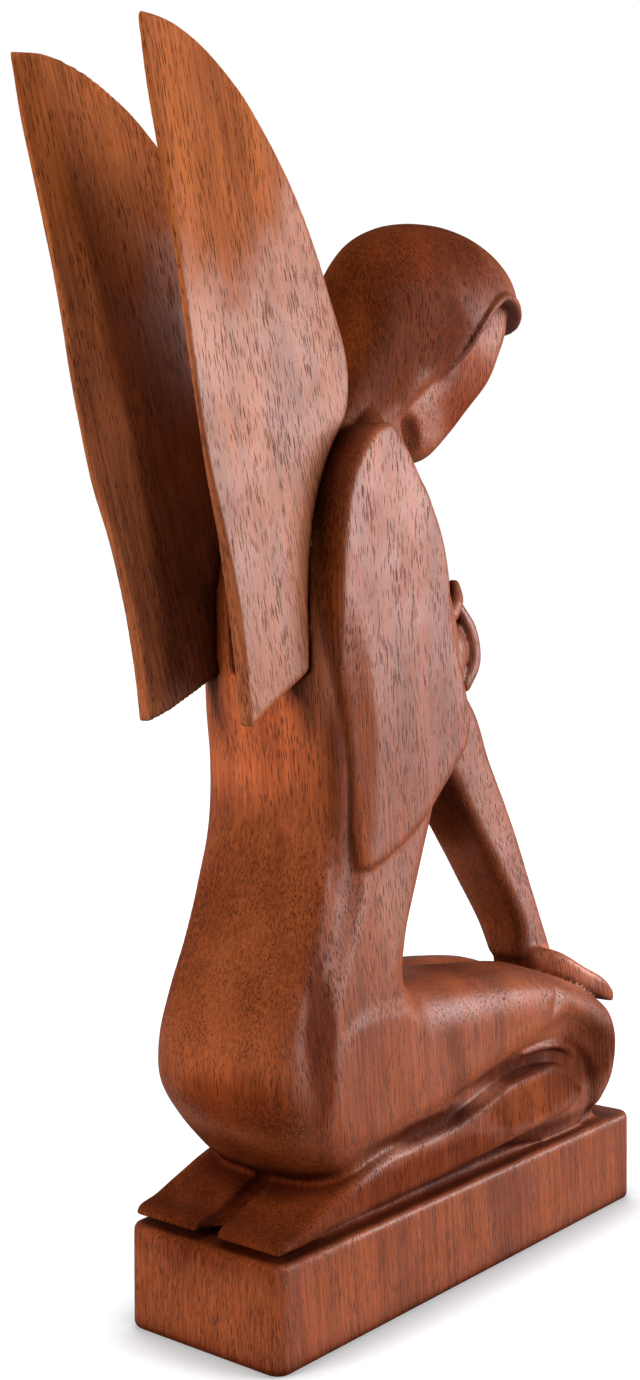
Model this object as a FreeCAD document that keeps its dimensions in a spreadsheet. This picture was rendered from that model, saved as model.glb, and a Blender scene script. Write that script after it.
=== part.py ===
"""Kneeling angel carved in wood: a figure on its plinth, two wing boards and the dowels that hold them.

Frame: origin at the centre of the plinth's underside, +Z up, the figure faces -Y, its right side is -X.
The figure and the plinth are carved from one plank with upright grain, so they are a single solid. Each
wing is a board of its own, let into a slot sawn in the upper back and held by two dowels.
"""

import FreeCAD, Part
import math
import os

import Sketcher

# Driving dimensions, all in millimetres.
SINGLE_SIZES = {
    "plank_thickness": 50.4,
    "plinth_length": 165.2,
    "plinth_height": 26.7,
    "plinth_corner": 3.0,
    "undercut_inset": 5.5,
    "undercut_front": -68.0,
    "undercut_back": 75.0,
    "undercut_top": 31.5,
    "arm_outer_face": 25.2,
    "arm_thickness": 13.0,
    "chest_hand_x": -8.0,
    "chest_hand_y": -15.0,
    "chest_hand_level": 169.0,
    "chest_hand_width": 10.0,
    "chest_hand_depth": 14.0,
    "chest_hand_rise": 15.0,
    "wing_root": 5.8,
    "wing_splay": 4.35,
    "wing_thickness": 6.4,
    "wing_tip_thickness": 2.4,
    "wing_taper_start": 222.0,
    "dowel_diameter": 4.0,
    "dowel_length": 20.0,
    "dowel_offset": 13.9,
    "dowel_front_end": 50.0,
    "dowel_low_level": 173.0,
    "dowel_high_level": 195.0,
}

# Corners of the flat outlines seen from the side: distance back, which for a wing is measured in its
# own plane, and level along Z.
WING_CORNERS = {
    "wing_tip": (120.8, 305.0),
    "wing_front": (42.6, 234.5),
    "wing_nape": (55.0, 210.0),
    "wing_toe": (59.7, 165.0),
    "wing_heel": (82.8, 153.0),
    "wing_bend": (98.2, 211.0),
}
# Radius of the arc that leaves each corner for the next one; 0 is a straight edge, and a negative
# radius is an arc that hollows the outline.
WING_RADII = {
    "wing_tip": 87.0,
    "wing_front": 44.0,
    "wing_nape": -117.0,
    "wing_toe": 0.0,
    "wing_heel": -130.0,
    "wing_bend": -470.0,
}
ARM_CORNERS = {
    "arm_shoulder": (41.5, 217.0),
    "arm_wrist": (6.0, 143.0),
    "arm_elbow": (55.0, 116.0),
}
ARM_RADII = {
    "arm_shoulder": 85.0,
    "arm_wrist": 93.0,
    "arm_elbow": 112.0,
}

# Cross-sections of the rounded forms. Each is a rounded rectangle in a plane of its own: the station of
# the plane, then the rectangle's limits along its two axes, then its corner radius.
# Torso, neck and head: horizontal planes, (level, right, left, front, back, corner).
TORSO = {
    "seat": (38.0, -20.0, 20.0, -5.0, 63.0, 12.0),
    "buttock": (66.0, -24.5, 24.5, 0.0, 81.5, 14.0),
    "hip": (90.0, -24.0, 24.0, 27.0, 76.5, 14.0),
    "waist": (118.0, -20.5, 20.5, 17.0, 63.0, 12.0),
    "ribs": (145.0, -20.0, 20.0, 3.0, 62.0, 12.0),
    "chest": (180.0, -20.5, 20.5, -5.0, 64.0, 12.0),
    "shoulders": (204.0, -21.0, 21.0, 0.0, 63.0, 12.0),
    "collar": (218.0, -17.0, 17.0, 12.0, 56.0, 11.0),
    "nape": (232.0, -12.0, 12.0, 8.0, 48.0, 9.0),
}
HEAD = {
    "chin": (219.5, -8.0, 8.0, -10.0, 40.0, 6.0),
    "jaw": (228.0, -12.0, 12.0, -17.0, 45.0, 9.0),
    "cheek": (242.0, -16.0, 16.0, -31.0, 38.0, 13.0),
    "brow": (256.0, -18.0, 18.0, -43.0, 30.0, 15.0),
    "rim": (268.0, -18.0, 18.0, -50.0, 24.5, 16.0),
    "crown": (279.0, -13.0, 13.0, -41.0, 9.5, 11.0),
    "top": (285.5, -5.0, 5.0, -27.0, -8.0, 4.0),
}
LEFT_ARM = {
    "left_shoulder": (208.0, 6.0, 24.0, 8.0, 46.0, 8.0),
    "left_upper_arm": (180.0, 6.0, 25.0, -14.0, 34.0, 8.0),
    "left_elbow": (145.0, 1.0, 19.0, -36.0, -8.0, 7.0),
    "left_forearm": (108.0, -4.0, 11.0, -56.0, -32.0, 6.0),
    "left_wrist": (76.0, -8.0, 7.0, -68.0, -50.0, 6.0),
}
# Hand and legs: upright planes across the figure, (station along Y, inner or right, outer or left,
# bottom, top, corner). The legs are given for the left side and mirrored for the right one.
LEFT_HAND = {
    "palm": (-54.0, -8.0, 7.0, 66.0, 82.0, 6.0),
    "knuckles": (-70.0, -14.0, 3.0, 60.0, 72.0, 4.5),
    "fingertips": (-82.0, -17.0, -6.0, 56.0, 61.0, 2.0),
}
THIGH = {
    "thigh_root": (52.0, -0.6, 24.5, 40.0, 88.0, 11.0),
    "thigh_middle": (10.0, -0.6, 24.7, 44.0, 84.0, 11.0),
    "thigh_front": (-30.0, -0.6, 24.7, 44.0, 78.5, 11.0),
    "knee_back": (-55.0, -0.6, 24.7, 33.0, 74.0, 11.0),
    "knee": (-72.0, -0.6, 24.0, 31.0, 66.0, 11.0),
    "knee_front": (-82.0, 2.0, 20.0, 40.0, 56.0, 7.0),
}
SHIN = {
    "shin_front": (-55.0, 4.0, 24.0, 31.5, 45.0, 6.0),
    "shin_bulge": (-36.0, 1.0, 25.0, 30.5, 53.0, 8.0),
    "shin_middle": (5.0, 1.0, 25.0, 30.0, 45.0, 6.0),
    "ankle": (45.0, 1.0, 25.0, 29.5, 41.0, 5.0),
    "toes": (82.0, 1.0, 25.0, 28.6, 31.6, 1.2),
}

# The least that a cut takes away, in cubic millimetres, and how far apart two equal points may be.
SMALLEST_CUT = 1.0
SAME_PLACE = 1e-6

HORIZONTAL = "XY_Plane"
ACROSS = "XZ_Plane"
SIDE = "YZ_Plane"

doc = FreeCAD.newDocument("kneeling_angel")
sheet = doc.addObject("Spreadsheet::Sheet", "Sizes")


def fill_sheet():
    """Writes every driving dimension to the sheet, one row each, with its name as the alias."""
    rows = dict(SINGLE_SIZES)
    for corners in (WING_CORNERS, ARM_CORNERS):
        for name, (back, level) in corners.items():
            rows[name + "_back"] = back
            rows[name + "_level"] = level
    for radii in (WING_RADII, ARM_RADII):
        for name, radius in radii.items():
            if radius:
                rows[name + "_radius"] = abs(radius)
    for sections in (TORSO, HEAD, LEFT_ARM, LEFT_HAND, THIGH, SHIN):
        for name, values in sections.items():
            for field, value in zip(("station", "low_x", "high_x", "low", "high", "corner"), values):
                rows[f"{name}_{field}"] = value
    for row, (name, value) in enumerate(rows.items(), start=1):
        sheet.set(f"A{row}", name)
        sheet.set(f"B{row}", str(value))
        sheet.setAlias(f"B{row}", name)
    doc.recompute()


def size(name):
    return sheet.get(name)


def add_body(name):
    body = doc.addObject("PartDesign::Body", name)
    body.Label = name
    return body


def origin_plane(body, role):
    return next(plane for plane in body.Origin.OriginFeatures if plane.Role == role)


def add_sketch(body, name, role, offset=None):
    """A sketch on one of the body's own origin planes, moved off it by the expression given as offset."""
    sketch = body.newObject("Sketcher::SketchObject", name)
    sketch.AttachmentSupport = (origin_plane(body, role), [""])
    sketch.MapMode = "FlatFace"
    if offset:
        sketch.setExpression("AttachmentOffset.Base.z", offset)
    return sketch


def bind(sketch, constraint, expression):
    """Adds a dimension to a sketch and drives it from the sheet."""
    index = sketch.addConstraint(constraint)
    label = f"size_{index}"
    sketch.renameConstraint(index, label)
    sketch.setExpression("Constraints." + label, expression)


def rounded_rectangle(sketch, name, mirrored=False):
    """Draws the section called name: four sides joined by equal corner arcs, all driven by the sheet."""
    low_x, high_x = size(name + "_low_x"), size(name + "_high_x")
    right, left = f"Sizes.{name}_low_x", f"Sizes.{name}_high_x"
    if mirrored:
        low_x, high_x = -high_x, -low_x
        right, left = "-" + left, "-" + right
    low, high, corner = size(name + "_low"), size(name + "_high"), size(name + "_corner")
    sides = (
        ((low_x + corner, low), (high_x - corner, low)),
        ((high_x, low + corner), (high_x, high - corner)),
        ((high_x - corner, high), (low_x + corner, high)),
        ((low_x, high - corner), (low_x, low + corner)),
    )
    for start, end in sides:
        sketch.addGeometry(Part.LineSegment(FreeCAD.Vector(*start, 0), FreeCAD.Vector(*end, 0)), False)
    centres = (
        (high_x - corner, low + corner),
        (high_x - corner, high - corner),
        (low_x + corner, high - corner),
        (low_x + corner, low + corner),
    )
    for quarter, centre in enumerate(centres):
        circle = Part.Circle(FreeCAD.Vector(*centre, 0), FreeCAD.Vector(0, 0, 1), corner)
        start = (quarter - 1) * math.pi / 2
        sketch.addGeometry(Part.ArcOfCircle(circle, start, start + math.pi / 2), False)
    for side in range(4):
        sketch.addConstraint(Sketcher.Constraint("Tangent", side, 2, 4 + side, 1))
        sketch.addConstraint(Sketcher.Constraint("Tangent", 4 + side, 2, (side + 1) % 4, 1))
        sketch.addConstraint(Sketcher.Constraint("Vertical" if side % 2 else "Horizontal", side))
    for arc in (4, 5, 6):
        sketch.addConstraint(Sketcher.Constraint("Equal", arc, arc + 1))
    bind(sketch, Sketcher.Constraint("DistanceY", -1, 1, 0, 1, low), f"Sizes.{name}_low")
    bind(sketch, Sketcher.Constraint("DistanceX", -1, 1, 1, 1, high_x), left)
    bind(sketch, Sketcher.Constraint("DistanceY", -1, 1, 2, 1, high), f"Sizes.{name}_high")
    bind(sketch, Sketcher.Constraint("DistanceX", -1, 1, 3, 1, low_x), right)
    bind(sketch, Sketcher.Constraint("Radius", 4, corner), f"Sizes.{name}_corner")


def add_loft(body, name, role, sections, mirrored=False):
    """A smooth loft through the named sections, each in a plane parallel to the origin plane given."""
    sketches = []
    for section in sections:
        station = f"Sizes.{section}_station"
        offset = station if role == HORIZONTAL else "-" + station
        sketch = add_sketch(body, f"{name}_{section}", role, offset)
        rounded_rectangle(sketch, section, mirrored)
        sketches.append(sketch)
    loft = body.newObject("PartDesign::AdditiveLoft", name)
    loft.Profile = sketches[0]
    loft.Sections = sketches[1:]
    doc.recompute()
    return loft


def arc_between(start, end, radius):
    """The arc of the given radius from one corner of an outline to the next, bulging to the right of the
    way from start to end, or to its left where the radius is negative."""
    chord = end - start
    half = chord.Length / 2
    towards_centre = FreeCAD.Vector(-chord.y, chord.x, 0).normalize() * math.copysign(1, radius)
    centre = start + chord * 0.5 + towards_centre * math.sqrt(radius**2 - half**2)
    bulge = centre - towards_centre * abs(radius)
    return Part.Arc(start, bulge, end)


def draw_outline(sketch, corners, radii):
    """A closed outline through the named corners, joined by straight edges and arcs."""
    names = list(corners)
    points = [FreeCAD.Vector(size(name + "_back"), size(name + "_level"), 0) for name in names]
    ends = []
    for index, name in enumerate(names):
        start, end = points[index], points[(index + 1) % len(names)]
        if radii[name]:
            radius = math.copysign(size(name + "_radius"), radii[name])
            edge = sketch.addGeometry(arc_between(start, end, radius), False)
            bind(sketch, Sketcher.Constraint("Radius", edge, abs(radius)), f"Sizes.{name}_radius")
            runs_backwards = radius < 0
        else:
            edge = sketch.addGeometry(Part.LineSegment(start, end), False)
            runs_backwards = False
        ends.append((edge, 2, 1) if runs_backwards else (edge, 1, 2))
    for index, name in enumerate(names):
        edge, start_point, end_point = ends[index]
        next_edge, next_start, next_end = ends[(index + 1) % len(names)]
        sketch.addConstraint(Sketcher.Constraint("Coincident", edge, end_point, next_edge, next_start))
        back = Sketcher.Constraint("DistanceX", -1, 1, edge, start_point, size(name + "_back"))
        level = Sketcher.Constraint("DistanceY", -1, 1, edge, start_point, size(name + "_level"))
        bind(sketch, back, f"Sizes.{name}_back")
        bind(sketch, level, f"Sizes.{name}_level")


def add_pad(body, sketch, name, length):
    pad = body.newObject("PartDesign::Pad", name)
    pad.Profile = sketch
    pad.setExpression("Length", length)
    doc.recompute()
    return pad


def add_cut(body, sketch, name, length, reverse=False):
    """A pocket of the given length, which stops the build if it takes no wood away."""
    before = body.Shape.Volume
    pocket = body.newObject("PartDesign::Pocket", name)
    pocket.Profile = sketch
    pocket.Reversed = reverse
    pocket.setExpression("Length", length)
    doc.recompute()
    if body.Shape.Volume > before - SMALLEST_CUT:
        raise RuntimeError(f"{name} cuts nothing")
    return pocket


def centred_rectangle(sketch, half_x, front, back):
    """A rectangle centred across the sketch, from front to back; the three arguments are expressions."""
    corners = ((-1, -1), (1, -1), (1, 1), (-1, 1))
    for index, corner in enumerate(corners):
        start = FreeCAD.Vector(*corner, 0)
        end = FreeCAD.Vector(*corners[(index + 1) % 4], 0)
        sketch.addGeometry(Part.LineSegment(start, end), False)
    for side in range(4):
        sketch.addConstraint(Sketcher.Constraint("Coincident", side, 2, (side + 1) % 4, 1))
        sketch.addConstraint(Sketcher.Constraint("Vertical" if side % 2 else "Horizontal", side))
    bind(sketch, Sketcher.Constraint("DistanceX", -1, 1, 1, 1, 1), half_x)
    bind(sketch, Sketcher.Constraint("DistanceX", 3, 1, -1, 1, 1), half_x)
    bind(sketch, Sketcher.Constraint("DistanceY", -1, 1, 0, 1, -1), front)
    bind(sketch, Sketcher.Constraint("DistanceY", -1, 1, 2, 1, 1), back)


def round_edges(body, base, name, radius, chosen):
    """Fillets the edges of the base feature that the function chosen picks out."""
    edges = [f"Edge{i}" for i, edge in enumerate(base.Shape.Edges, start=1) if chosen(edge)]
    fillet = body.newObject("PartDesign::Fillet", name)
    fillet.Base = (base, edges)
    fillet.setExpression("Radius", radius)
    doc.recompute()
    return fillet


def is_upright(edge):
    start, end = edge.Vertexes[0].Point, edge.Vertexes[-1].Point
    return math.hypot(end.x - start.x, end.y - start.y) < SAME_PLACE


def carve_base(body):
    """The plinth, and the narrower core that stands on it behind the undercut below the legs."""
    outline = add_sketch(body, "plinth_outline", HORIZONTAL)
    half_length = "Sizes.plinth_length / 2"
    centred_rectangle(outline, "Sizes.plank_thickness / 2", "-" + half_length, half_length)
    plinth = add_pad(body, outline, "plinth", "Sizes.plinth_height")
    round_edges(body, plinth, "plinth_corners", "Sizes.plinth_corner", is_upright)
    core = add_sketch(body, "core_outline", HORIZONTAL)
    core_half_width = "Sizes.plank_thickness / 2 - Sizes.undercut_inset"
    centred_rectangle(core, core_half_width, "Sizes.undercut_front", "Sizes.undercut_back")
    add_pad(body, core, "core_above_undercut", "Sizes.undercut_top")


def carve_legs(body):
    for side, mirrored in (("left", False), ("right", True)):
        add_loft(body, side + "_shin", ACROSS, SHIN, mirrored)
        add_loft(body, side + "_thigh", ACROSS, THIGH, mirrored)


def carve_right_arm(body):
    """The folded right arm, a flat leaf-shaped form on the figure's side, with its hand on the chest."""
    outline = add_sketch(body, "right_arm_outline", SIDE, "-Sizes.arm_outer_face")
    draw_outline(outline, ARM_CORNERS, ARM_RADII)
    add_pad(body, outline, "right_arm", "Sizes.arm_thickness")
    hand = body.newObject("PartDesign::AdditiveEllipsoid", "right_hand")
    hand.AttachmentSupport = (origin_plane(body, HORIZONTAL), [""])
    hand.MapMode = "FlatFace"
    hand.setExpression("AttachmentOffset.Base.x", "Sizes.chest_hand_x")
    hand.setExpression("AttachmentOffset.Base.y", "Sizes.chest_hand_y")
    hand.setExpression("AttachmentOffset.Base.z", "Sizes.chest_hand_level")
    hand.setExpression("Radius1", "Sizes.chest_hand_rise")
    hand.setExpression("Radius2", "Sizes.chest_hand_width")
    hand.setExpression("Radius3", "Sizes.chest_hand_depth")
    doc.recompute()


def splay(sketch, direction):
    """Moves a sketch out to the root of a wing's inner face and turns it into the wing's own plane."""
    turn = FreeCAD.Rotation(FreeCAD.Vector(0, -direction, 0), size("wing_splay"))
    sketch.AttachmentOffset = FreeCAD.Placement(FreeCAD.Vector(), turn)
    sketch.setExpression("AttachmentOffset.Rotation.Angle", "Sizes.wing_splay")


def add_wing_outline(body, side, direction):
    """The wing's outline, in the plane of the wing's inner face."""
    outline = add_sketch(body, side + "_wing_outline", SIDE)
    splay(outline, direction)
    outline.setExpression("AttachmentOffset.Base.z", f"{direction} * Sizes.wing_root")
    draw_outline(outline, WING_CORNERS, WING_RADII)
    return outline


def drill_dowel_holes(body, side, direction):
    """The two holes of a wing's dowels, one above the other, from the back into the wing's edge."""
    circles = add_sketch(body, side + "_dowel_circles", ACROSS, "-Sizes.dowel_front_end")
    offset, radius = direction * size("dowel_offset"), size("dowel_diameter") / 2
    for level in ("dowel_low_level", "dowel_high_level"):
        outline = Part.Circle(FreeCAD.Vector(offset, size(level), 0), FreeCAD.Vector(0, 0, 1), radius)
        circle = circles.addGeometry(outline, False)
        across = Sketcher.Constraint("DistanceX", -1, 1, circle, 3, offset)
        height = Sketcher.Constraint("DistanceY", -1, 1, circle, 3, size(level))
        bind(circles, across, f"{direction} * Sizes.dowel_offset")
        bind(circles, height, "Sizes." + level)
        bind(circles, Sketcher.Constraint("Diameter", circle, 2 * radius), "Sizes.dowel_diameter")
    add_cut(body, circles, side + "_dowel_holes", "Sizes.dowel_length")


def make_figure():
    body = add_body("kneeling_figure")
    carve_base(body)
    add_loft(body, "torso", HORIZONTAL, TORSO)
    add_loft(body, "head", HORIZONTAL, HEAD)
    carve_legs(body)
    add_loft(body, "left_arm", HORIZONTAL, LEFT_ARM)
    add_loft(body, "left_hand", ACROSS, LEFT_HAND)
    carve_right_arm(body)
    for side, direction in (("left", 1), ("right", -1)):
        outline = add_wing_outline(body, side, direction)
        add_cut(body, outline, side + "_wing_slot", "Sizes.wing_thickness", direction > 0)
        drill_dowel_holes(body, side, direction)
    return body


def thin_towards_tip(body, side, direction):
    """Planes the wing's inner face down towards the tip, with a wedge that runs along the wing."""
    wedge = add_sketch(body, side + "_taper_outline", ACROSS)
    splay(wedge, direction)
    wedge.setExpression("AttachmentOffset.Base.x", f"{direction} * Sizes.wing_root")
    removed = "Sizes.wing_thickness - Sizes.wing_tip_thickness"
    depth = direction * (size("wing_thickness") - size("wing_tip_thickness"))
    start = FreeCAD.Vector(0, size("wing_taper_start"), 0)
    top = FreeCAD.Vector(0, size("wing_tip_level"), 0)
    top_thin = FreeCAD.Vector(depth, size("wing_tip_level"), 0)
    for first, second in ((start, top), (top, top_thin), (top_thin, start)):
        wedge.addGeometry(Part.LineSegment(first, second), False)
    for edge in range(3):
        wedge.addConstraint(Sketcher.Constraint("Coincident", edge, 2, (edge + 1) % 3, 1))
    wedge.addConstraint(Sketcher.Constraint("PointOnObject", 0, 1, -2))
    wedge.addConstraint(Sketcher.Constraint("Vertical", 0))
    wedge.addConstraint(Sketcher.Constraint("Horizontal", 1))
    bind(wedge, Sketcher.Constraint("DistanceY", -1, 1, 0, 1, start.y), "Sizes.wing_taper_start")
    bind(wedge, Sketcher.Constraint("DistanceY", -1, 1, 1, 1, top.y), "Sizes.wing_tip_level")
    bind(wedge, Sketcher.Constraint("DistanceX", -1, 1, 2, 1, depth), f"{direction} * ({removed})")
    add_cut(body, wedge, side + "_taper", "2 * Sizes.wing_tip_back")


def make_wing(side, direction):
    """One wing: a board cut to the wing's outline, thinned towards its tip and drilled for its dowels."""
    body = add_body(side + "_wing")
    outline = add_wing_outline(body, side, direction)
    board = add_pad(body, outline, side + "_board", "Sizes.wing_thickness")
    board.Reversed = direction < 0
    doc.recompute()
    thin_towards_tip(body, side, direction)
    drill_dowel_holes(body, side, direction)
    return body


def make_dowels(side, direction):
    """The two dowels of one wing, which fill their holes from end to end."""
    dowels = []
    for end in ("low", "high"):
        dowel = doc.addObject("Part::Cylinder", f"{side}_{end}_dowel")
        dowel.Placement.Rotation = FreeCAD.Rotation(FreeCAD.Vector(1, 0, 0), -90)
        dowel.setExpression("Radius", "Sizes.dowel_diameter / 2")
        dowel.setExpression("Height", "Sizes.dowel_length")
        dowel.setExpression("Placement.Base.x", f"{direction} * Sizes.dowel_offset")
        dowel.setExpression("Placement.Base.y", "Sizes.dowel_front_end")
        dowel.setExpression("Placement.Base.z", f"Sizes.dowel_{end}_level")
        dowels.append(dowel)
    pair = doc.addObject("Part::Compound", side + "_wing_dowels")
    pair.Label = side + "_wing_dowels"
    pair.Links = dowels
    return pair


def check_document(pieces):
    """Stops on a failed feature or on a piece whose solids aren't what they should be."""
    doc.recompute()
    for item in doc.Objects:
        if "Invalid" in item.State or "Error" in item.State:
            raise RuntimeError(f"{item.Name} failed: {item.State}")
    for piece, solids in pieces:
        shape = piece.Shape
        if shape.isNull() or not shape.isValid() or len(shape.Solids) != solids:
            raise RuntimeError(f"{piece.Label} isn't {solids} valid solid(s)")


def main():
    fill_sheet()
    pieces = [(make_figure(), 1)]
    for side, direction in (("left", 1), ("right", -1)):
        pieces.append((make_wing(side, direction), 1))
        pieces.append((make_dowels(side, direction), 2))
    check_document(pieces)
    os.makedirs("parts", exist_ok=True)
    for piece, _ in pieces:
        piece.Shape.exportStep(f"parts/{piece.Label}.step")


main()
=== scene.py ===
"""The looks of the kneeling angel: hand-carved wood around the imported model.

The figure and its wings are carved here the way a sculptor does it. A block of wood is a grid of distances
to the surface, in millimetres in the part's own frame. Forms are added to it and cut from it with soft
joins, and the finished surface is turned into a mesh in metres.
"""

import collections
import math

import bpy
import numpy as np
from mathutils import Matrix, Vector


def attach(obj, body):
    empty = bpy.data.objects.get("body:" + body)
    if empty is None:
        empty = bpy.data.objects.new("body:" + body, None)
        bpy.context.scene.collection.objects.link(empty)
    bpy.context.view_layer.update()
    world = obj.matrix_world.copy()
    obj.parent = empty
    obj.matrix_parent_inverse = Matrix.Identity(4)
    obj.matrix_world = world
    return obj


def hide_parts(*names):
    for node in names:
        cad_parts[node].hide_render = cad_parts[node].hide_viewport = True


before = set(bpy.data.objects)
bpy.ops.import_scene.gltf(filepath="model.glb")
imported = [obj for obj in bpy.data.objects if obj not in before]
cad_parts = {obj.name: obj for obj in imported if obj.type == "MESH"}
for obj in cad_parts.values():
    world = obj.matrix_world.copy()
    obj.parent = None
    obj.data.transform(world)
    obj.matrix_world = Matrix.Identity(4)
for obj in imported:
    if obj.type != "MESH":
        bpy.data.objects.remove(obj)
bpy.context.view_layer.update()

MILLIMETRE = 0.001
PITCH = 0.86
WING_PITCH = 0.75

# Driving sizes, in millimetres.
HALF_PLANK = 25.2
HALF_PLINTH = 82.6
CROWN = 285.5
PLINTH_TOP = 26.7
PLINTH_CORNER = 4.4
PLINTH_EDGE = 1.8
UNDERCUT_INSET = 5.5
LEG_SIDE = 24.9
THIGH_SIDE = 24.7
THIGH_RECESS = 3.6
ARM_SIDE = 25.1
CORD_RISE = 1.5
CORD_SETBACK = 0.7
CORD_HALF_WIDTH = 1.2
KNIFE_DEPTH = 0.12
WING_ROOT = 5.8
WING_SPLAY = math.radians(4.35)
WING_THICKNESS = 6.4
WING_TIP_THICKNESS = 4.2
WING_TAPER_START = 222.0
WING_TOP = 305
# The edges of a wing in its own plane: (back, level). A straight edge joins the toe to the heel.
WING_LEADING_EDGE = [
    (120.9, 304.2), (115, 304.9), (105.4, 303.8), (92.6, 298.8), (77.4, 288.2), (62, 271.6), (50.6, 253.4),
    (43.8, 238.6), (44.4, 228.6), (52, 217.4), (57.6, 205), (60.4, 191), (61.2, 177), (59.8, 165),
]
WING_TRAILING_EDGE = [
    (84.4, 151.6), (86.2, 165), (88.8, 179), (93.2, 194), (99, 210), (103.8, 229), (108.4, 252),
    (113.8, 274), (118.2, 290), (120.9, 304.2),
]
# The trailing edge is bevelled on the inner side: (level, thickness left at the edge, width of the bevel).
WING_BEVEL = [
    (151, 3.6, 5),
    (172, 3.8, 6.5),
    (192, 3.0, 8),
    (208, 1.9, 10),
    (250, 1.7, 10.5),
    (305, 1.8, 11),
]

# ---------------------------------------------------------------------------------------------------------
# The carving kit. A form is a function that gives the distance to its surface, negative inside, and the
# box that it lies in.

Form = collections.namedtuple("Form", "distance low high")
FAR = 40.0  # the distance that empty air starts with
REACH = 9.0  # how far around its own box a form is worked out


def soft_max(a, b, blend):
    """The larger of two distances, with a fillet of about the given size where they meet."""
    if not blend:
        return np.maximum(a, b)
    share = np.clip(0.5 + 0.5 * (a - b) / blend, 0, 1)
    return b + (a - b) * share + blend * share * (1 - share)


def round_max(a, b, radius):
    """The larger of two distances, with the outside corner between them rounded to a radius."""
    a, b = a + radius, b + radius
    return np.hypot(np.maximum(a, 0), np.maximum(b, 0)) + np.minimum(np.maximum(a, b), 0) - radius


def ease(stations, values, at):
    """The smooth curve that passes through the values at their stations, read at other places."""
    stations, values = np.asarray(stations, np.float32), np.asarray(values, np.float32)
    slopes = np.gradient(values, stations)
    first = np.clip(np.searchsorted(stations, at) - 1, 0, len(stations) - 2)
    span = stations[first + 1] - stations[first]
    t = np.clip((at - stations[first]) / span, 0, 1)
    start = (1 + 2 * t) * (1 - t) ** 2 * values[first] + t * (1 - t) ** 2 * span * slopes[first]
    end = t**2 * (3 - 2 * t) * values[first + 1] + t**2 * (t - 1) * span * slopes[first + 1]
    return start + end


class Block:
    """A block of wood: the distance to the carved surface at each point of a regular grid."""

    def __init__(self, low, high, pitch):
        self.pitch = pitch
        ends = [(a - 2.5 * pitch, b + 3 * pitch) for a, b in zip(low, high)]
        self.axes = [np.arange(start, stop, pitch, np.float32) for start, stop in ends]
        self.value = np.full([len(axis) for axis in self.axes], FAR, np.float32)

    def near(self, form):
        """The part of the grid near a form, and its coordinates."""
        window = tuple(
            slice(*np.searchsorted(axis, (low - REACH, high + REACH)))
            for axis, low, high in zip(self.axes, form.low, form.high)
        )
        return window, np.ix_(*[axis[part] for axis, part in zip(self.axes, window)])

    def add(self, form, blend=0.0):
        window, (x, y, z) = self.near(form)
        self.value[window] = -soft_max(-self.value[window], -form.distance(x, y, z), blend)

    def cut(self, form, blend=0.0):
        window, (x, y, z) = self.near(form)
        self.value[window] = soft_max(self.value[window], -form.distance(x, y, z), blend)


def mirrored(form):
    """The same form on the other side of the figure."""
    low = (-form.high[0],) + tuple(form.low[1:])
    high = (-form.low[0],) + tuple(form.high[1:])
    return Form(lambda x, y, z: form.distance(-x, y, z), low, high)


def both_sides(form):
    return form, mirrored(form)


def on_side(side, points):
    """Points given for the figure's left, as they lie on one side of it: 1 is the left and -1 the right."""
    return [(side * x, y, z) for x, y, z in points]


def slab(low, high, corner, edge):
    """A box with upright corners rounded to one radius and its top and bottom edges to another."""
    middle = [(a + b) / 2 for a, b in zip(low, high)]
    half = [(b - a) / 2 for a, b in zip(low, high)]

    def distance(x, y, z):
        flat = round_max(abs(x - middle[0]) - half[0], abs(y - middle[1]) - half[1], corner)
        return round_max(flat, abs(z - middle[2]) - half[2], edge)

    return Form(distance, low, high)


def loft(axis, sections, edge, crown=0.0):
    """A form through rounded rectangles in planes across an axis: (station, low, high, low, high, corner).

    Crown is how far the middle of the high side stands out beyond its two ends.
    """
    stations, *rows = np.array(sections, np.float32).T
    order = {"z": (2, 0, 1), "y": (1, 0, 2)}[axis]
    middle, half = (stations[0] + stations[-1]) / 2, (stations[-1] - stations[0]) / 2

    def distance(*point):
        along, a, b = [point[index] for index in order]
        low_a, high_a, low_b, high_b, corner = [ease(stations, row, along) for row in rows]
        half_a = (high_a - low_a) / 2
        from_middle = abs(a - (low_a + high_a) / 2)
        if crown:
            back_share = np.clip((b - low_b) / (high_b - low_b) * 2 - 1, 0, 1)
            b = b + crown * np.minimum(from_middle / half_a, 1) ** 2 * back_share
        from_centre = abs(b - (low_b + high_b) / 2)
        across = round_max(from_middle - half_a, from_centre - (high_b - low_b) / 2, corner)
        return round_max(across, abs(along - middle) - half, edge)

    low, high = [0, 0, 0], [0, 0, 0]
    low[order[0]], high[order[0]] = stations[0], stations[-1]
    low[order[1]], high[order[1]] = rows[0].min() - 2, rows[1].max() + 2
    low[order[2]], high[order[2]] = rows[2].min() - 2, rows[3].max() + 2
    return Form(distance, tuple(low), tuple(high))


def smooth_line(points, spans, closed=False):
    """Points along the smooth curve through the given ones, so many to each span."""
    points = np.array(points, np.float32)
    if closed:
        points = np.concatenate([points[-2:], points, points[:3]])
    steps = np.linalg.norm(np.diff(points, axis=0), axis=1)
    length = np.concatenate([[0], np.cumsum(steps)])
    first, last = (2, len(points) - 3) if closed else (0, len(points) - 1)
    at = np.interp(np.linspace(first, last, (last - first) * spans + 1), np.arange(len(points)), length)
    return np.stack([ease(length, column, at) for column in points.T], axis=1)


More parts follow.
